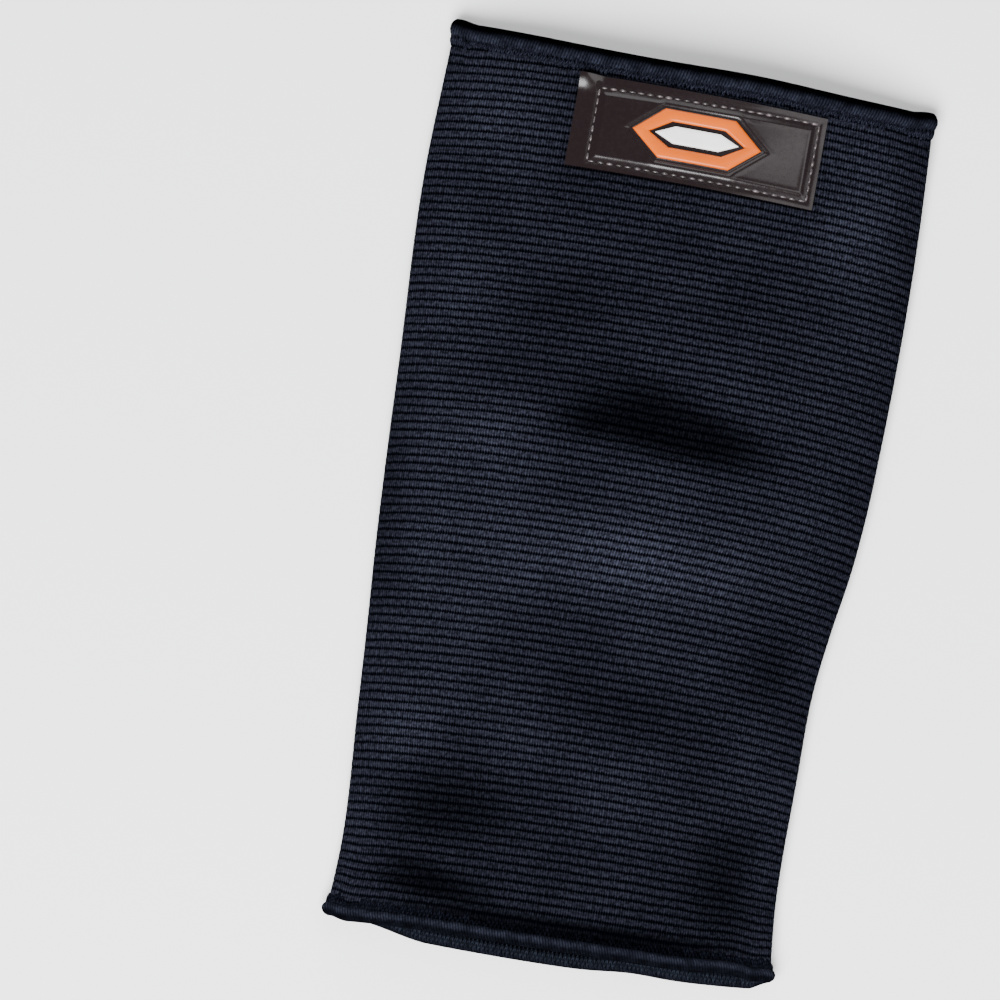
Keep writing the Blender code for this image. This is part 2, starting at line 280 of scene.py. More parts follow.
def upper_end(around):
    """The place in the knit where the slanted cut of the upper opening falls."""
    x = lay_flat(around, np.full_like(around, UPPER_CUT))[..., 0]
    cut = UPPER_CUT + UPPER_CUT_SLANT * x + UPPER_CUT_BOW * (x / RIGHT_EDGE[-1][1]) ** 2
    cut = cut + UPPER_CUT_HUMP * hump(x, 0.016, 0.020)
    return cut + through(SLANT, np.full_like(x, UPPER_CUT)) * x


def set_down(name, mesh, material):
    """Makes a piece of a mesh and a material, and puts it on the table."""
    piece = bpy.data.objects.new(name, mesh)
    piece.data.materials.append(material)
    bpy.context.scene.collection.objects.link(piece)
    return piece


def skin(name, rings, material, uv=None, wrap=True, sharp=None):
    """A closed skin over closed rings of points. It wraps from the last ring to the first, or is capped."""
    rings = np.asarray(rings, float)
    count, size = rings.shape[:2]
    i, j = np.meshgrid(np.arange(count if wrap else count - 1), np.arange(size), indexing="ij")
    down, over = (i + 1) % count, (j + 1) % size
    quads = np.stack([i * size + j, i * size + over, down * size + over, down * size + j], -1)
    mesh = bpy.data.meshes.new(name)
    mesh.from_pydata(rings.reshape(-1, 3).tolist(), [], quads.reshape(-1, 4).tolist())
    if uv is not None:
        layer = mesh.uv_layers.new(name="threads")
        corners = np.stack([uv[i, j], uv[i, j + 1], uv[i + 1, j + 1], uv[i + 1, j]], 2)
        layer.data.foreach_set("uv", corners.astype(np.float32).ravel())
    bm = bmesh.new()
    bm.from_mesh(mesh)
    if not wrap:
        bmesh.ops.holes_fill(bm, edges=[edge for edge in bm.edges if edge.is_boundary])
    bmesh.ops.remove_doubles(bm, verts=bm.verts, dist=2e-6)
    bmesh.ops.dissolve_degenerate(bm, edges=bm.edges, dist=1e-6)
    bmesh.ops.recalc_face_normals(bm, faces=bm.faces)
    bm.to_mesh(mesh)
    bm.free()
    mesh.shade_smooth()
    if sharp:
        mesh.set_sharp_from_angle(angle=math.radians(sharp))
    return set_down(name, mesh, material)


def put(tree, kind, inputs=(), **settings):
    """Adds a shader node. inputs maps a socket's name or number to a value or to another node's output."""
    node = tree.nodes.new(kind)
    for key, value in settings.items():
        setattr(node, key, value)
    for key, value in dict(inputs).items():
        if isinstance(value, bpy.types.NodeSocket):
            tree.links.new(value, node.inputs[key])
        else:
            node.inputs[key].default_value = value
    return node


def work_out(tree, operation, *values):
    """The result of a sum on values or other nodes' outputs."""
    return put(tree, "ShaderNodeMath", enumerate(values), operation=operation).outputs[0]


def spread(tree, value, low, high, to_low=0.0, to_high=1.0):
    """Maps low..high of a value smoothly to to_low..to_high."""
    inputs = {"Value": value, "From Min": low, "From Max": high, "To Min": to_low, "To Max": to_high}
    return put(tree, "ShaderNodeMapRange", inputs, interpolation_type="SMOOTHSTEP").outputs["Result"]


def blend_colours(tree, share, first, second):
    """Mixes two colours. The mix node keeps its share in socket 0 and its colours in sockets 6 and 7."""
    return put(tree, "ShaderNodeMix", {0: share, 6: first, 7: second}, data_type="RGBA").outputs[2]


def emboss(tree, shader, height, strength, distance):
    """Raises a material's surface by a pattern of height."""
    bump = put(tree, "ShaderNodeBump", {"Strength": strength, "Distance": distance, "Height": height})
    tree.links.new(bump.outputs[0], shader.inputs["Normal"])


def thread_places(tree):
    """The wale and rib numbers of a point, read from the thread map."""
    where = put(tree, "ShaderNodeUVMap", uv_map="threads").outputs[0]
    parts = put(tree, "ShaderNodeSeparateXYZ", {0: where})
    return where, parts.outputs[0], parts.outputs[1]


def grain(tree, where, scale, detail=2.0):
    """Noise over the thread map, scaled apart across and along it."""
    factors = (*scale, 1.0)
    scaled = put(tree, "ShaderNodeVectorMath", {0: where, 1: factors}, operation="MULTIPLY").outputs[0]
    return put(tree, "ShaderNodeTexNoise", {"Vector": scaled, "Scale": 1.0, "Detail": detail}).outputs[0]


def tint(tree, colour, tone):
    """A colour made lighter or darker by a tone."""
    return put(tree, "ShaderNodeVectorMath", {0: colour, "Scale": tone}, operation="SCALE").outputs[0]


def ribbed_knit():
    """Matt slate-navy ribs with a fine tick at each needle loop, and dotted grooves between in near-black
    painted shade.
    """
    material, tree, shader = new_material("ribbed_knit")
    where, wale, rib = thread_places(tree)
    tick = work_out(tree, "COSINE", work_out(tree, "MULTIPLY", wale, 2 * math.pi))
    tick = work_out(tree, "MULTIPLY_ADD", tick, 0.5, 0.5)
    wander = work_out(tree, "MULTIPLY_ADD", grain(tree, where, (0.07, 0.45)), 0.30, -0.15)
    from_groove = work_out(tree, "PINGPONG", work_out(tree, "ADD", rib, wander), 0.5)
    ragged = grain(tree, where, (0.8, 0.9))
    from_groove = work_out(tree, "ADD", from_groove, work_out(tree, "MULTIPLY_ADD", ragged, 0.16, -0.08))
    from_groove = work_out(tree, "MULTIPLY_ADD", tick, 0.15, from_groove)
    on_rib = spread(tree, from_groove, 0.14, 0.34)
    loops = grain(tree, where, (0.85, 2.3), 3.0)
    patches = grain(tree, where, (0.021, 0.07), 3.0)
    bright = work_out(tree, "MULTIPLY_ADD", tick, 0.62, 0.50)
    bright = work_out(tree, "MULTIPLY", bright, spread(tree, loops, 0.30, 0.70, 0.40, 1.65))
    bright = work_out(tree, "MULTIPLY", bright, spread(tree, patches, 0.25, 0.75, 0.78, 1.22))
    # The rib colour is scaled by the painted shading: painted shade in hollows, painted light on swells.
    painted_shading = put(tree, "ShaderNodeAttribute", attribute_name="painted_shading").outputs["Fac"]
    bright = work_out(tree, "MULTIPLY", bright, spread(tree, painted_shading, -1.0, 1.0, 0.20, 1.80))
    rib_colour = tint(tree, (0.0092, 0.0099, 0.0152), bright)
    dots = work_out(tree, "MULTIPLY", tick, 0.22)
    show = work_out(tree, "MAXIMUM", on_rib, dots)
    # Painted shade: the grooves between the ribs take a near-black colour, with the needle loops' dots in
    # them.
    colour = blend_colours(tree, show, (0.0001, 0.0002, 0.0006, 1), rib_colour)
    tree.links.new(colour, shader.inputs["Base Color"])
    high = work_out(tree, "MULTIPLY", work_out(tree, "MULTIPLY_ADD", tick, 0.7, 0.3), on_rib)
    high = work_out(tree, "MULTIPLY_ADD", loops, 0.5, high)
    emboss(tree, shader, high, strength=0.55, distance=0.00022)
    shader.inputs["Roughness"].default_value = 0.80
    shader.inputs["Specular IOR Level"].default_value = 0.0
    return material


knit = ribbed_knit()
# The steps round the sleeve, and where a rib's rings lie from one groove to the next.
ROUND = np.linspace(0, 2, 161)
RIB_STEPS = [0.0, 0.10, 0.27, 0.50, 0.73, 0.90]
RIB_PROFILE = [0.0, 0.66, 0.95, 1.0, 0.95, 0.66]


def knit_piece(name, first_rib, ribs, trim_upper):
    """A length of the tube, from the groove below first_rib up over a number of ribs."""
    numbers = np.add.outer(np.arange(first_rib, first_rib + ribs), RIB_STEPS).ravel()
    numbers = np.append(numbers, first_rib + ribs)
    depths = RIB_HEIGHT * (1 - np.append(np.tile(RIB_PROFILE, ribs), 0.0))
    inner = np.arange(first_rib + ribs, first_rib - 1, -1, dtype=float)
    numbers = np.concatenate([numbers, inner])
    depths = np.concatenate([depths, np.full(len(inner), WALL)])
    place = LOWER_CUT + numbers[:, None] * RIB_PITCH + 0 * ROUND[None, :]
    around = ROUND[None, :] + 0 * place
    half = np.minimum(around, 2 - around)
    at_fold = hump(half, FOLD_SHARE, 0.10)
    depth = depths[:, None] * np.where(depths[:, None] < WALL, 1 - 0.8 * at_fold, 1.0)
    if trim_upper:
        end = upper_end(around)
        depth = np.where(place < end, depth, np.where(depths[:, None] < WALL, RIB_HEIGHT, WALL))
        place = np.minimum(place, end)
    points = face_at(around, place, depth)
    length = np.linalg.norm(np.diff(points, axis=1), axis=2)
    wale = np.concatenate([np.zeros((len(numbers), 1)), np.cumsum(length, axis=1)], axis=1)
    wale *= WALES / wale[:, -1:]
    threads = np.stack([wale, (place - LOWER_CUT) / RIB_PITCH], -1)
    threads = np.concatenate([threads, threads[:1]])
    piece = skin(name, points[:, :-1], knit, threads)
    # Painted shade darkens the ribs in the front's hollows and painted light brightens them on its swells,
    # fading out low down towards the folds. The knit is also painted darker towards the lower hem.
    spots = np.array([vert.co for vert in piece.data.vertices])
    rise = creases(spots[:, 0], spots[:, 1])
    painted_shading = np.where(rise < 0, rise / SHADE_DARKEST_AT, rise / LIGHT_BRIGHTEST_AT)
    painted_shading = painted_shading - DARKER_BY_HEM * ease(-spots[:, 1], 0.065, 0.095)
    painted_shading = np.clip(painted_shading, -1, 1) * ease(spots[:, 2], 0.0055, 0.0125)
    mark = piece.data.attributes.new("painted_shading", "FLOAT", "POINT")
    mark.data.foreach_set("value", painted_shading.astype(np.float32))
    return piece


# The two lengths meet in the groove at the middle of the padded part.
elbow_low, elbow_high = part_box("elbow_sleeve")
MIDDLE_RIB = round(((elbow_low.y + elbow_high.y) / 2 - LOWER_CUT) / RIB_PITCH)
TOP_RIB = math.ceil((UPPER_CUT + 0.006 - LOWER_CUT) / RIB_PITCH)
lower_knit = knit_piece("forearm_knit", 0, MIDDLE_RIB, False)
upper_knit = knit_piece("upper_arm_knit", MIDDLE_RIB, TOP_RIB - MIDDLE_RIB, True)
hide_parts("forearm_sleeve", "elbow_sleeve")
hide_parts("upper_arm_sleeve")
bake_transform(lower_knit)
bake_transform(upper_knit)

# ---------------------------------------------------------------------------------------------
# The overlocked hems.
# Each raw edge is wrapped in closely laid polyester threads, which make a round, satin roll. The
# needle thread runs beside it, and loops of thread cross from it to the roll.
# ---------------------------------------------------------------------------------------------
UPPER_ROLL, LOWER_ROLL = 0.0046, 0.0032
ROLL_THREADS = 330
STEPS_PER_THREAD = 4
ROLL_STEPS = ROLL_THREADS * STEPS_PER_THREAD
THREAD_RIDGE = 0.00014
LOOPS = 220
LOOP_STEPS = 10
LOOP_REACH = 0.0027
LOOP_THREAD = 0.00027
THREAD_SIDES = 6


def lower_end(around):
    """The place in the knit where the straight cut of the lower opening falls."""
    return np.full_like(around, LOWER_CUT)


def evenly_round(end, count):
    """Steps round an opening that are evenly spaced along its edge."""
    around = np.linspace(0, 2, 1201)
    points = lay_flat(around, end(around))
    length = np.append(0, np.cumsum(np.linalg.norm(np.diff(points, axis=0), axis=1)))
    return np.interp(np.linspace(0, length[-1], count, endpoint=False), length, around)


def overlock_thread(name, colour, rim=(2.0, 4.2, 1.0), inside=(6.5, 8.0, 1.0)):
    """Polyester thread, laid side by side. It is painted darker over the roll's outer edge, as shade, and
    comes back inside: rim and inside give from which step of the roll's section to which, and the tone from
    there on."""
    material, tree, shader = new_material(name)
    where, thread, along = thread_places(tree)
    strand = work_out(tree, "PINGPONG", work_out(tree, "MULTIPLY_ADD", along, 0.35, thread), 0.5)
    fuzz = grain(tree, where, (1.7, 1.2), 3.0)
    strands = spread(tree, strand, 0.0, 0.4, 0.30, 1.25)
    tone = work_out(tree, "MULTIPLY", strands, spread(tree, fuzz, 0.2, 0.8, 0.5, 1.6))
    patches = grain(tree, where, (0.24, 0.35))
    tone = work_out(tree, "MULTIPLY", tone, spread(tree, patches, 0.32, 0.68, 0.62, 1.34))
    # Painted shade over the roll's outer edge, with a tone of its own again on the inside.
    edge = spread(tree, along, rim[0], rim[1], 1.0, rim[2])
    within = spread(tree, along, inside[0], inside[1], 0.0, inside[2])
    tone = work_out(tree, "MULTIPLY", tone, work_out(tree, "MAXIMUM", edge, within))
    tree.links.new(tint(tree, colour, tone), shader.inputs["Base Color"])
    slanted = work_out(tree, "MULTIPLY_ADD", thread, 6.28, work_out(tree, "MULTIPLY", along, 9.0))
    emboss(tree, shader, work_out(tree, "SINE", slanted), strength=0.3, distance=0.0001)
    shader.inputs["Roughness"].default_value = 0.60
    shader.inputs["Specular IOR Level"].default_value = 0.0
    return material


# Both rolls are painted darker over their outer edge as shade: the upper one nearly black, the lower one
# less.
upper_roll_thread = overlock_thread(
    "upper_roll_thread", (0.0076, 0.0085, 0.0135), rim=(2.0, 4.2, 0.05), inside=(5.4, 7.0, 0.7)
)
lower_roll_thread = overlock_thread(
    "lower_roll_thread", (0.0084, 0.0094, 0.0148), rim=(3.1, 4.9, 0.22), inside=(6.8, 8.0, 0.4)
)
upper_loop_thread = overlock_thread("upper_loop_thread", (0.0085, 0.0093, 0.0150))
# The lower loops lie in the hollow above the roll, so their thread is a darker copy: painted shade.
lower_loop_thread_painted_shade = overlock_thread("lower_loop_thread_painted_shade", (0.0034, 0.0038, 0.0064))
inner_loop_thread = overlock_thread("inner_loop_thread", (0.0072, 0.0088, 0.0132))


def hem_roll(name, end, outward, width, material):
    """The roll of thread round an opening's edge. outward is 1 at the upper opening and -1 at the lower."""
    around = evenly_round(end, ROLL_STEPS)
    place = end(around)
    turns = np.arange(ROLL_STEPS) / STEPS_PER_THREAD
    # The roll in section: how far past the wall's end, and how deep under its outer face.
    section = [(-width, 0.0004), (-width * 0.94, -0.0003), (-width * 0.78, -0.0008)]
    section += [(-width * 0.55, -0.0011), (-width * 0.32, -0.0010), (-width * 0.12, -0.0006)]
    section += [(0.0001, 0.0001), (0.0003, WALL * 0.5), (0.0001, WALL - 0.0002)]
    section += [(-width * 0.12, WALL + 0.0004), (-width * 0.4, WALL + 0.0007)]
    section += [(-width * 0.75, WALL + 0.0006), (-width, WALL - 0.0002)]
    rings = []
    for step, (past, depth) in enumerate(section):
        phase = (turns + 0.22 * step) % 1.0
        ridge = THREAD_RIDGE * np.sin(math.pi * phase) ** 0.7
        outside = 1.0 if depth < WALL * 0.6 else -1.0
        rings.append(face_at(around, place + outward * past, depth - ridge * outside))
    across = np.append(turns, ROLL_THREADS)[None, :]
    along = np.arange(len(section) + 1)[:, None] + 0 * across
    threads = np.stack([across + 0 * along, along], -1)
    piece = skin(name, rings, material, threads)
    return piece


def thread_tube(name, path, radius, material):
    """A thread of one closed loop along a path of points, as a tube."""
    path = np.asarray(path)
    ahead = np.roll(path, -1, axis=0) - np.roll(path, 1, axis=0)
    ahead /= np.linalg.norm(ahead, axis=1, keepdims=True)
    side = np.cross(ahead, np.array([0.0, 0.0, 1.0]) + 1e-4)
    side /= np.linalg.norm(side, axis=1, keepdims=True)
    top = np.cross(side, ahead)
    rings = []
    for turn in np.linspace(0, 2 * math.pi, THREAD_SIDES, endpoint=False):
        rings.append(path + radius * (math.cos(turn) * side + math.sin(turn) * top))
    about = np.arange(THREAD_SIDES + 1)[None, :]
    run = np.arange(len(path) + 1)[:, None] + 0 * about
    threads = np.stack([run * 0.5, 0 * run + about], -1)
    return skin(name, np.stack(rings, 1), material, threads)


def hem_loops(name, end, outward, width, material):
    """The needle thread: it runs along the knit, and a loop goes to the roll and back at each stitch."""
    around = evenly_round(end, LOOPS * LOOP_STEPS)
    phase = np.tile(np.arange(LOOP_STEPS) / LOOP_STEPS, LOOPS)
    # Leaning loops, no two drawn up quite alike: far out for most of a stitch and in at the needle's hole.
    chance = np.random.default_rng(7)
    draw, tilt = chance.uniform(0.45, 1.20, LOOPS), chance.uniform(-0.35, 0.35, LOOPS)
    stitch = np.arange(LOOPS * LOOP_STEPS) / LOOP_STEPS
    draw = np.interp(stitch, np.arange(LOOPS + 1), np.append(draw, draw[0]))
    tilt = np.interp(stitch, np.arange(LOOPS + 1), np.append(tilt, tilt[0]))
    reach = width * 0.88 + LOOP_REACH * draw * np.abs(np.sin(math.pi * phase)) ** 0.7
    lean = (0.30 * np.sin(2 * math.pi * phase) + tilt) * (around[1] - around[0]) * LOOP_STEPS
    lift = 0.00022 + 0.00020 * np.cos(2 * math.pi * phase)
    path = face_at(around + lean, end(around) - outward * reach, -lift)
    piece = thread_tube(name, path, LOOP_THREAD, material)
    # The looper thread makes a second row on the inside of the roll, a plain zigzag.
    zigzag = np.abs((stitch * 2) % 2 - 1)
    back_from_end = 0.0003 + width * 0.8 * zigzag
    inside = face_at(around, end(around) - outward * back_from_end, WALL + 0.0007 + 0.0002 * zigzag)
    second = thread_tube(name + "_inside", inside, LOOP_THREAD, inner_loop_thread)
    piece.data.materials.append(inner_loop_thread)
    both = bmesh.new()
    both.from_mesh(piece.data)
    outer_faces = len(both.faces)
    both.from_mesh(second.data)
    both.faces.ensure_lookup_table()
    for face in both.faces[outer_faces:]:
        face.material_index = 1
    both.to_mesh(piece.data)
    both.free()
    bpy.data.objects.remove(second)
    return piece


for opening, end, outward, width, wrap, thread, body in (
    ("upper", upper_end, 1, UPPER_ROLL, upper_roll_thread, upper_loop_thread, "upper_arm"),
    ("lower", lower_end, -1, LOWER_ROLL, lower_roll_thread, lower_loop_thread_painted_shade, "forearm"),
):
    roll = hem_roll(opening + "_hem_roll", end, outward, width, wrap)
    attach(roll, body)
    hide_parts(opening + "_hem_binding")
    loops = hem_loops(opening + "_hem_loops", end, outward, width, thread)
    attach(loops, body)
    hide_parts(opening + "_hem_stitching")

# ---------------------------------------------------------------------------------------------
# The foam pad and its lining.
# A slab of soft closed-cell foam lies against the back wall, over the tip of the elbow. A thin
# tricot lining covers it, and is sewn to the back wall all round with one row of lockstitches.
# ---------------------------------------------------------------------------------------------
foam_low, foam_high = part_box("foam_pad")
PAD_MIDDLE = (foam_low + foam_high) / 2
PAD_HALF = (foam_high - foam_low) / 2
SQUARENESS = 3.2
FOAM_INSET = 0.0022
FOAM_GRAIN = 0.0035


def foam_skin():
    """Dark closed-cell foam, with fine cells."""
    material, tree, shader = new_material("closed_cell_foam")
    where = put(tree, "ShaderNodeTexCoord").outputs["Object"]
    cells = put(tree, "ShaderNodeTexVoronoi", {"Vector": where, "Scale": 1600.0}).outputs["Distance"]
    colour = blend_colours(tree, cells, (0.020, 0.020, 0.022, 1), (0.060, 0.060, 0.064, 1))
    tree.links.new(colour, shader.inputs["Base Color"])
    emboss(tree, shader, cells, strength=0.5, distance=0.0003)
    shader.inputs["Roughness"].default_value = 0.95
    return material


def pad_ring(half_x, half_y, z, steps=96):
    """Points round the pad's outline, a rectangle with round corners and slightly bowed sides."""
    angle = np.linspace(0, 2 * math.pi, steps, endpoint=False)
    cosine, sine = np.cos(angle), np.sin(angle)
    x = np.sign(cosine) * np.abs(cosine) ** (2 / SQUARENESS) * half_x
    y = np.sign(sine) * np.abs(sine) ** (2 / SQUARENESS) * half_y
    return np.stack([PAD_MIDDLE.x + x, PAD_MIDDLE.y + y, np.full_like(x, z)], -1)


def puff_up(piece, pressure, frames, cap):
    """Lets cloth swell under pressure for some frames, and keeps the shape it has then."""
    start = np.array([vert.co for vert in piece.data.vertices])
    cloth = piece.modifiers.new("swell", "CLOTH")
    cloth.settings.use_pressure = True
    cloth.settings.uniform_pressure_force = pressure
    cloth.settings.effector_weights.gravity = 0
    cloth.settings.quality = 6
    cloth.point_cache.frame_start, cloth.point_cache.frame_end = 1, frames
    scene = bpy.context.scene
    for number in range(1, frames + 1):
        scene.frame_set(number)
    swollen = piece.evaluated_get(bpy.context.evaluated_depsgraph_get())
    moved = np.array([vert.co for vert in swollen.data.vertices]) - start
    piece.modifiers.clear()
    scene.frame_set(1)
    length = np.linalg.norm(moved, axis=1, keepdims=True)
    moved *= np.minimum(1.0, cap / np.maximum(length, 1e-9))
    piece.data.vertices.foreach_set("co", (start + moved).ravel())
    piece.data.update()


# The slab before it swells, from the middle of its top out, down and back to the middle of its base.
foam_section = [(0.3, foam_high.z - FOAM_INSET), (0.97, foam_high.z - FOAM_INSET)]
foam_section += [(1.0, foam_high.z - FOAM_INSET * 1.6), (1.0, foam_low.z + FOAM_INSET * 0.6)]
foam_section += [(0.97, foam_low.z + 0.0004), (0.3, foam_low.z + 0.0004)]
foam_rings = [
    pad_ring((PAD_HALF.x - FOAM_INSET) * share, (PAD_HALF.y - FOAM_INSET) * share, z)
    for share, z in foam_section
]
foam = skin("foam_slab", foam_rings, foam_skin(), wrap=False)
remesh = foam.modifiers.new("even", "REMESH")
remesh.mode = "VOXEL"
remesh.voxel_size = FOAM_GRAIN
even = bpy.data.meshes.new_from_object(foam.evaluated_get(bpy.context.evaluated_depsgraph_get()))
foam.modifiers.clear()
foam.data = even
puff_up(foam, pressure=4.0, frames=20, cap=0.0020)
points = np.array([vert.co for vert in foam.data.vertices])
points = np.clip(points, np.array(foam_low), np.array(foam_high))
foam.data.vertices.foreach_set("co", points.ravel())
foam.data.shade_smooth()
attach(foam, "elbow")
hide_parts("foam_pad")


def tricot():
    """Dark brushed tricot, with fine wavering wales."""
    material, tree, shader = new_material("tricot_lining")
    where = put(tree, "ShaderNodeTexCoord").outputs["Object"]
    inputs = {"Vector": where, "Scale": 900.0, "Distortion": 1.2}
    wave = put(tree, "ShaderNodeTexWave", inputs).outputs["Fac"]
    colour = blend_colours(tree, wave, (0.010, 0.011, 0.014, 1), (0.030, 0.032, 0.040, 1))
    tree.links.new(colour, shader.inputs["Base Color"])
    emboss(tree, shader, wave, strength=0.4, distance=0.0001)
    shader.inputs["Roughness"].default_value = 0.9
    shader.inputs["Sheen Weight"].default_value = 0.05
    return material


lining_low, lining_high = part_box("pad_lining")
LINING_HALF = (lining_high - lining_low) / 2
LINING = 0.0008
OUTER_FACE, INNER_FACE = 0.0011, 0.0003
FLANGE_START = 1.022
# From the middle out over the foam, down its side and out along the flange, then back underneath.
over = [(0.30, foam_high.z), (0.60, foam_high.z), (0.85, foam_high.z), (0.95, foam_high.z - 0.0003)]
over += [(0.992, foam_high.z - 0.0012), (1.008, foam_high.z - 0.0032), (1.012, lining_low.z + 0.0022)]
over += [(FLANGE_START, lining_low.z + 0.0008)]
lining_rings = [pad_ring(PAD_HALF.x * s, PAD_HALF.y * s, z + OUTER_FACE) for s, z in over]
lining_rings += [pad_ring(LINING_HALF.x, LINING_HALF.y, lining_low.z + z) for z in (LINING + 0.0002, 0.0)]
lining_rings += [pad_ring(PAD_HALF.x * s, PAD_HALF.y * s, z + INNER_FACE) for s, z in reversed(over)]
lining = skin("lining_cover", lining_rings, tricot(), wrap=False)
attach(lining, "elbow")
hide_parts("pad_lining")


STITCH_RINGS = 7


def stitch_row(name, path, gap_share, radius, material, rise):
    """A row of separate stitches, one to each step of a closed path, that arch from hole to hole."""
    path = np.asarray(path)
    verts, faces = [], []
    sides, rings = THREAD_SIDES, STITCH_RINGS
    chance = np.random.default_rng(11)
    for start, finish in zip(path, np.roll(path, -1, axis=0)):
        pull = chance.uniform(0.72, 1.25)
        ahead = finish - start
        length = np.linalg.norm(ahead)
        ahead = ahead / length
        side = np.cross(ahead, (0.0, 0.0, 1.0))
        side /= np.linalg.norm(side)
        top = np.cross(side, ahead)
        base = len(verts)
        for step in range(rings):
            share = step / (rings - 1)
            arch = math.sin(math.pi * share)
            run = gap_share / 2 + (1 - gap_share) * share
            middle = start + ahead * length * run + top * rise * (arch - 0.55)
            thick = radius * pull * (0.35 + 0.65 * arch ** 0.5)
            for turn in np.linspace(0, 2 * math.pi, sides, endpoint=False):
                verts.append(middle + thick * (math.cos(turn) * side + math.sin(turn) * top))
        for step in range(rings - 1):
            for k in range(sides):
                a, b = base + step * sides + k, base + step * sides + (k + 1) % sides
                faces.append((a, b, b + sides, a + sides))
        faces.append(tuple(base + k for k in reversed(range(sides))))
        faces.append(tuple(base + (rings - 1) * sides + k for k in range(sides)))
    mesh = bpy.data.meshes.new(name)
    mesh.from_pydata([tuple(v) for v in verts], [], faces)
    bm = bmesh.new()
    bm.from_mesh(mesh)
    bmesh.ops.recalc_face_normals(bm, faces=bm.faces)
    bm.to_mesh(mesh)
    bm.free()
    mesh.shade_smooth()
    return set_down(name, mesh, material)


def noise(tree, where, scale, detail):
    """Even noise at a scale over the points of a piece."""
    return put(tree, "ShaderNodeTexNoise", {"Vector": where, "Scale": scale, "Detail": detail}).outputs[0]


def sewing_thread(name, colour, roughness, shine):
    """Twisted thread, bright at some of its stitches and dim at others."""
    material, tree, shader = new_material(name)
    where = put(tree, "ShaderNodeTexCoord").outputs["Object"]
    twist = noise(tree, where, 2600.0, 2.0)
    glints = spread(tree, noise(tree, where, 330.0, 1.0), 0.36, 0.62)
    light = work_out(tree, "MULTIPLY", glints, work_out(tree, "MULTIPLY_ADD", twist, 0.5, 0.5))
    dim = tuple(value * 0.25 for value in colour)
    tree.links.new(blend_colours(tree, light, (*dim, 1), (*colour, 1)), shader.inputs["Base Color"])
    emboss(tree, shader, twist, strength=0.3, distance=0.0001)
    shader.inputs["Roughness"].default_value = roughness
    shader.inputs["Specular IOR Level"].default_value = shine
    return material


# The seam runs along the middle of the flange.
flange = 0.5 * (LINING_HALF.x / PAD_HALF.x + FLANGE_START)
seam_path = pad_ring(PAD_HALF.x * flange, PAD_HALF.y * flange, lining_low.z + 0.0014, steps=120)
navy_thread = sewing_thread("navy_thread", (0.012, 0.014, 0.022), roughness=0.55, shine=0.4)
seam = stitch_row(
    "lining_seam", seam_path, gap_share=0.25, radius=0.0003, material=navy_thread, rise=0.0002
)
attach(seam, "elbow")
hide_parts("pad_lining_stitching")

# ---------------------------------------------------------------------------------------------
# The badge.
# A plate of glossy dark brown vinyl, moulded with a raised panel, a plain margin strip on its left
# and a long six-sided emblem. Clear nylon stitches hold it down in a groove round all four sides.
# ---------------------------------------------------------------------------------------------
plate_low, plate_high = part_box("badge_plate")
BADGE_MIDDLE = (plate_low + plate_high) / 2 + Vector((0, 0.0006, 0))
BADGE_HALF = Vector((0.0319, 0.0123))
BADGE_TURN = math.radians(-1.0)
PLATE = 0.0010
PLATE_COLUMNS, PLATE_ROWS = 210, 80
PLATE_EDGE = 0.0006
MARGIN_LEFT, MARGIN = 0.0054, 0.0019
PANEL_INSET = 0.0014
PANEL_RISE = 0.00026
ASKEW = 0.0013
CURL = 0.0015
STITCH_PITCH = 0.0024
EMBLEM_HALF = Vector((0.0165, 0.0066))
EMBLEM_STROKE = 0.0031
EMBLEM_RISE = 0.0008
EMBLEM_FOOT = -0.0006
EMBLEM_GAP = 0.0012
# The share of the emblem's half length that its long sides and its pointed end take, and how much faster
# the ends come in than the sides.
EMBLEM_SHOULDER, EMBLEM_POINT = 0.55, 0.45
END_PULL = 1.35


def front_point(x, y, height):
    """The point that stands at a height over the sleeve's front at (x, y)."""
    x, y, height = np.broadcast_arrays(x, y, height)
    around, place = np.ones_like(x), y.copy()
    for _ in range(12):
        here = lay_flat(around, place)
        edge = np.where(x > 0, through(RIGHT_EDGE, place), through(LEFT_EDGE, place))
        lean = np.clip(x / edge, -0.999, 0.999)
        rise = np.arccos(np.abs(lean))
        half = FOLD_SHARE + (1 - FOLD_SHARE) * rise / (math.pi / 2)
        around = np.where(x > 0, half, 2 - half)
        place = place + (y - here[..., 1])
    return face_at(around, place, -height)


def on_badge(a, b, height):
    """Takes a point of the flat badge to its place on the sleeve."""
    cosine, sine = math.cos(BADGE_TURN), math.sin(BADGE_TURN)
    x = BADGE_MIDDLE.x + a * cosine - b * sine
    y = BADGE_MIDDLE.y + a * sine + b * cosine
    return front_point(x, y, height)


def upper_line(a):
    """How far in the upper row is sewn: it runs a little askew, nearer to the edge at its right end."""
    return MARGIN + ASKEW * (0.5 - a / (2 * BADGE_HALF.x))


def to_box(a, b, inset):
    """Distance inside the rectangle that lies in from the row of stitches by inset."""
    left, right = MARGIN_LEFT - BADGE_HALF.x, BADGE_HALF.x - MARGIN
    across = (right - left) / 2 - np.abs(a - (left + right) / 2)
    along = np.minimum(BADGE_HALF.y - upper_line(a) - b, BADGE_HALF.y - MARGIN + b)
    return np.minimum(across, along) - inset


def to_hexagon(a, b):
    """Distance inside the emblem's outline: it has flat long sides and pointed ends."""
    slope = Vector((EMBLEM_HALF.y, EMBLEM_POINT * EMBLEM_HALF.x)).normalized()
    ends = (EMBLEM_HALF.x - np.abs(a)) * slope.x - np.abs(b) * slope.y
    return np.minimum(EMBLEM_HALF.y - np.abs(b), ends)


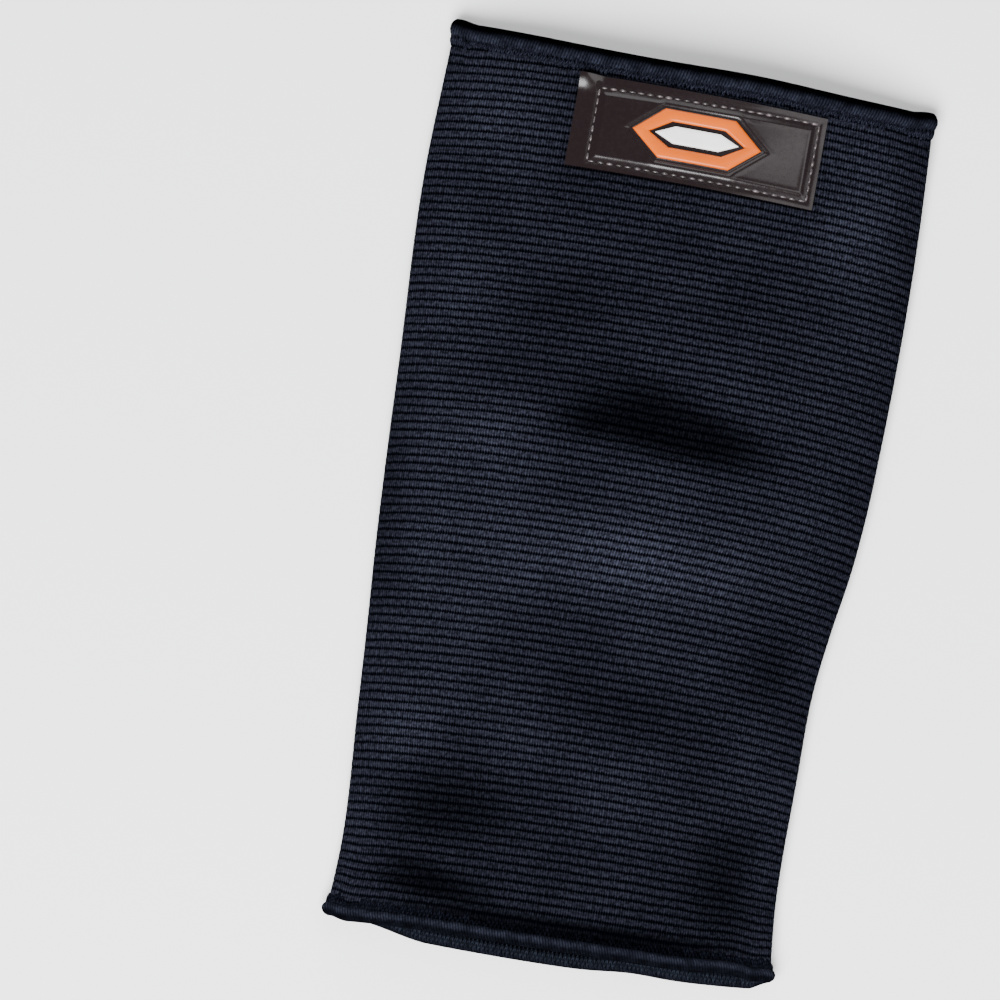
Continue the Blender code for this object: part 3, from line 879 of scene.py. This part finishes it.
def plate_height(a, b):
    """How high the plate stands: a groove for the stitches, a raised panel and a hollow round the emblem."""
    edge = np.minimum(BADGE_HALF.x - np.abs(a), BADGE_HALF.y - np.abs(b))
    panel = to_box(a, b, PANEL_INSET)
    height = PLATE - 0.00016 * hump(to_box(a, b, 0.0), 0.0, 0.0006)
    height = height + PANEL_RISE * ease(panel, -0.0006, 0.0007) + 0.00007 * hump(panel, 0.0006, 0.0006)
    emblem = to_hexagon(a, b)
    height = height - 0.00026 * hump(emblem, -0.0006, 0.0005) + 0.00007 * hump(emblem, -0.0018, 0.0006)
    # The upper left corner has curled up from the cloth.
    height = height + CURL * ease(b, 0.0070, 0.0122) * ease(-a, 0.0250, 0.0310)
    ripple = np.sin(a * 310 + 1.0) * np.sin(b * 420 + 0.4) + 0.6 * np.sin(a * 140 - b * 380)
    return height + 0.00003 * ripple * ease(edge, 0.0, 0.002)


def glossy_vinyl(name, colour, roughness, coat):
    """Moulded vinyl: a clear gloss over colour, with faint moulding ripple and fine scuffs."""
    material, tree, shader = new_material(name)
    where = put(tree, "ShaderNodeTexCoord").outputs["Object"]
    cloudy = noise(tree, where, 90.0, 4.0)
    dim = tuple(value * 0.72 for value in colour)
    tree.links.new(blend_colours(tree, cloudy, (*dim, 1), (*colour, 1)), shader.inputs["Base Color"])
    scuffs = spread(tree, noise(tree, where, 900.0, 5.0), 0.35, 0.75, roughness, roughness + 0.08)
    tree.links.new(scuffs, shader.inputs["Roughness"])
    emboss(tree, shader, noise(tree, where, 230.0, 2.0), strength=0.06, distance=0.0004)
    shader.inputs["Specular IOR Level"].default_value = 0.24
    shader.inputs["Coat Weight"].default_value = coat
    shader.inputs["Coat Roughness"].default_value = 0.12
    return material


# The plate's moulded face, with a sharp cut edge all round and a flat back.
bm = bmesh.new()
bmesh.ops.create_grid(bm, x_segments=PLATE_COLUMNS, y_segments=PLATE_ROWS, size=1.0)
flat = np.array([vert.co for vert in bm.verts])
top_a, top_b = flat[:, 0] * BADGE_HALF.x, flat[:, 1] * BADGE_HALF.y
places = on_badge(top_a, top_b, plate_height(top_a, top_b) + 0.0002)
for vert, place in zip(bm.verts, places):
    vert.co = place
rim = [edge for edge in bm.edges if edge.is_boundary]
skirt = bmesh.ops.extrude_edge_only(bm, edges=rim)["geom"]
foot = [item for item in skirt if isinstance(item, bmesh.types.BMVert)]
bmesh.ops.translate(bm, verts=foot, vec=(0, 0, -PLATE_EDGE))
bmesh.ops.holes_fill(bm, edges=[edge for edge in bm.edges if edge.is_boundary])
bmesh.ops.recalc_face_normals(bm, faces=bm.faces)
# The extrusion comes in no fixed order, so its points, edges and faces are put in order by their places.
for parts, place_of in (
    (bm.verts, lambda vert: tuple(vert.co)),
    (bm.edges, lambda edge: tuple(edge.verts[0].co + edge.verts[1].co)),
    (bm.faces, lambda face: tuple(face.calc_center_median())),
):
    rank = {part: number for number, part in enumerate(sorted(parts, key=place_of))}
    parts.sort(key=rank.get)
plate_mesh = bpy.data.meshes.new("badge_plate_moulding")
bm.to_mesh(plate_mesh)
bm.free()
plate_mesh.shade_smooth()
plate_mesh.set_sharp_from_angle(angle=math.radians(50))
brown_vinyl = glossy_vinyl("brown_vinyl", (0.0078, 0.0041, 0.0047), roughness=0.22, coat=0.15)
plate = set_down("badge_plate_moulding", plate_mesh, brown_vinyl)
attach(plate, "upper_arm")
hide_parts("badge_plate")

# The stitches, evenly spaced along the groove from one corner to the next.
corner_a = [MARGIN_LEFT - BADGE_HALF.x, BADGE_HALF.x - MARGIN]
corners = [(a, MARGIN - BADGE_HALF.y) for a in corner_a]
corners += [(a, BADGE_HALF.y - upper_line(a)) for a in reversed(corner_a)]
groove = []
for start, finish in zip(corners, corners[1:] + corners[:1]):
    count = round(math.dist(start, finish) / STITCH_PITCH)
    for step in range(count):
        groove.append([start[k] + (finish[k] - start[k]) * step / count for k in range(2)])
groove = np.array(groove)
groove_path = on_badge(groove[:, 0], groove[:, 1], np.full(len(groove), PLATE + 0.00015))
clear_nylon = sewing_thread("clear_nylon", (0.085, 0.068, 0.071), roughness=0.3, shine=0.5)
badge_stitches = stitch_row(
    "badge_stitches", groove_path, gap_share=0.22, radius=0.00036, material=clear_nylon, rise=0.0002
)
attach(badge_stitches, "upper_arm")
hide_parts("badge_stitching")


def hexagon(inset, steps=12):
    """Points round the emblem's outline, in from it by inset."""
    long_half, short_half = EMBLEM_HALF.x - inset * END_PULL, EMBLEM_HALF.y - inset
    shares = [(1.0, 0.0), (EMBLEM_SHOULDER, 1.0), (-EMBLEM_SHOULDER, 1.0)]
    shares += [(-1.0, 0.0), (-EMBLEM_SHOULDER, -1.0), (EMBLEM_SHOULDER, -1.0)]
    ring = [(x * long_half, y * short_half) for x, y in shares]
    points = []
    for start, finish in zip(ring, ring[1:] + ring[:1]):
        for step in range(steps):
            t = step / steps
            points.append([start[k] + (finish[k] - start[k]) * t for k in range(2)])
    return np.array(points)


def emblem_piece(name, profile, colour, wrap):
    """A raised part of the emblem over rings of its outline: profile is (inset, height over the plate)."""
    rings = []
    for inset, rise in profile:
        outline = hexagon(inset)
        height = np.full(len(outline), PLATE + 0.0004 + rise)
        rings.append(on_badge(outline[:, 0], outline[:, 1], height))
    vinyl = glossy_vinyl(name + "_vinyl", colour, roughness=0.30, coat=0.0)
    piece = skin(name, rings, vinyl, wrap=wrap, sharp=40)
    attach(piece, "upper_arm")
    return piece


stroke = EMBLEM_STROKE
frame_profile = [(0.0, EMBLEM_FOOT), (0.0, EMBLEM_RISE * 0.5), (0.0002, EMBLEM_RISE * 0.85)]
frame_profile += [(0.0006, EMBLEM_RISE), (stroke * 0.5, EMBLEM_RISE * 1.06), (stroke - 0.0006, EMBLEM_RISE)]
frame_profile += [(stroke - 0.0002, EMBLEM_RISE * 0.85), (stroke, EMBLEM_RISE * 0.5), (stroke, EMBLEM_FOOT)]
emblem_frame = emblem_piece("emblem_frame_moulding", frame_profile, (0.60, 0.100, 0.0), True)
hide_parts("emblem_frame")

core = stroke + EMBLEM_GAP
core_middle = EMBLEM_HALF.y * 0.98
core_profile = [(core_middle, EMBLEM_RISE * 1.05), (core + 0.0011, EMBLEM_RISE * 1.04)]
core_profile += [(core + 0.0005, EMBLEM_RISE), (core + 0.0001, EMBLEM_RISE * 0.8)]
core_profile += [(core, EMBLEM_RISE * 0.4), (core, EMBLEM_FOOT), (core_middle, EMBLEM_FOOT)]
emblem_core = emblem_piece("emblem_core_moulding", core_profile, (0.93, 0.93, 0.92), False)
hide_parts("emblem_core")
